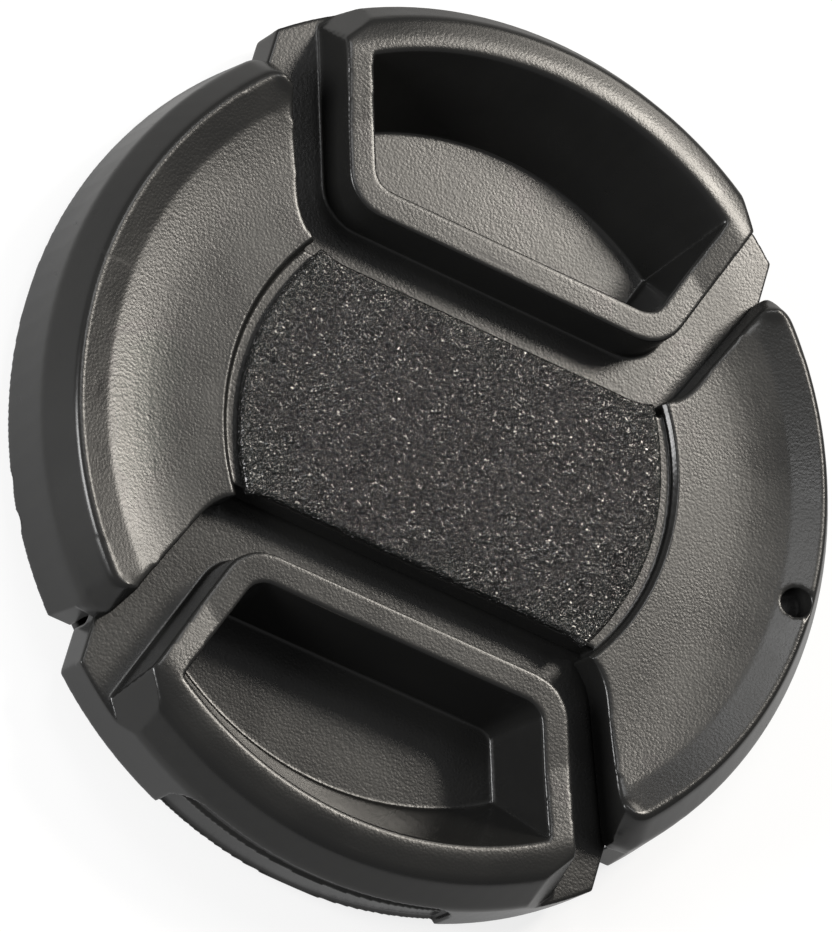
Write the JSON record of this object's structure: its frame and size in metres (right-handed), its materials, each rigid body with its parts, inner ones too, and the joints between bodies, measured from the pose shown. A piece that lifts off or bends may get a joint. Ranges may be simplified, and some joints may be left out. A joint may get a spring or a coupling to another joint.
{
  "type": "camera lens cap",
  "caption": "Round centre-pinch camera lens cap with dished wings, a grained centre plate, sprung finger latches with deep pockets and a small keeper hole near the rim.",
  "frame": {"origin": "on the axis of the lens, at the resting face of the back plate", "axes": "+Z out of the front of the cap, +Y towards the upper latch along the slide, +X towards the keeper hole"},
  "size_m": [0.0608, 0.064, 0.0092],
  "materials": {
    "black_plastic": "satin black with a fine moulded texture",
    "grained_plastic": "black with a coarse wrinkled grain",
    "spring_steel": "bright drawn wire"
  },
  "bodies": {
    "cap": {"front_body": "black_plastic", "centre_plate": "grained_plastic", "back_plate": "black_plastic", "upper_left_spring": "spring_steel", "upper_right_spring": "spring_steel", "lower_left_spring": "spring_steel", "lower_right_spring": "spring_steel"},
    "upper_slider": {"upper_latch": "black_plastic"},
    "lower_slider": {"lower_latch": "black_plastic"}
  },
  "joints": [
    {"name": "upper_pinch", "type": "slide", "parent": "cap", "child": "upper_slider", "axis": [0, -1, 0], "range_m": [0, 0.0024], "stiffness_N_per_m": 800, "springref_m": -0.002, "deforming": ["upper_left_spring", "upper_right_spring"]},
    {"name": "lower_pinch", "type": "slide", "parent": "cap", "child": "lower_slider", "axis": [0, 1, 0], "range_m": [0, 0.0024], "stiffness_N_per_m": 800, "springref_m": -0.002, "deforming": ["lower_left_spring", "lower_right_spring"]}
  ]
}
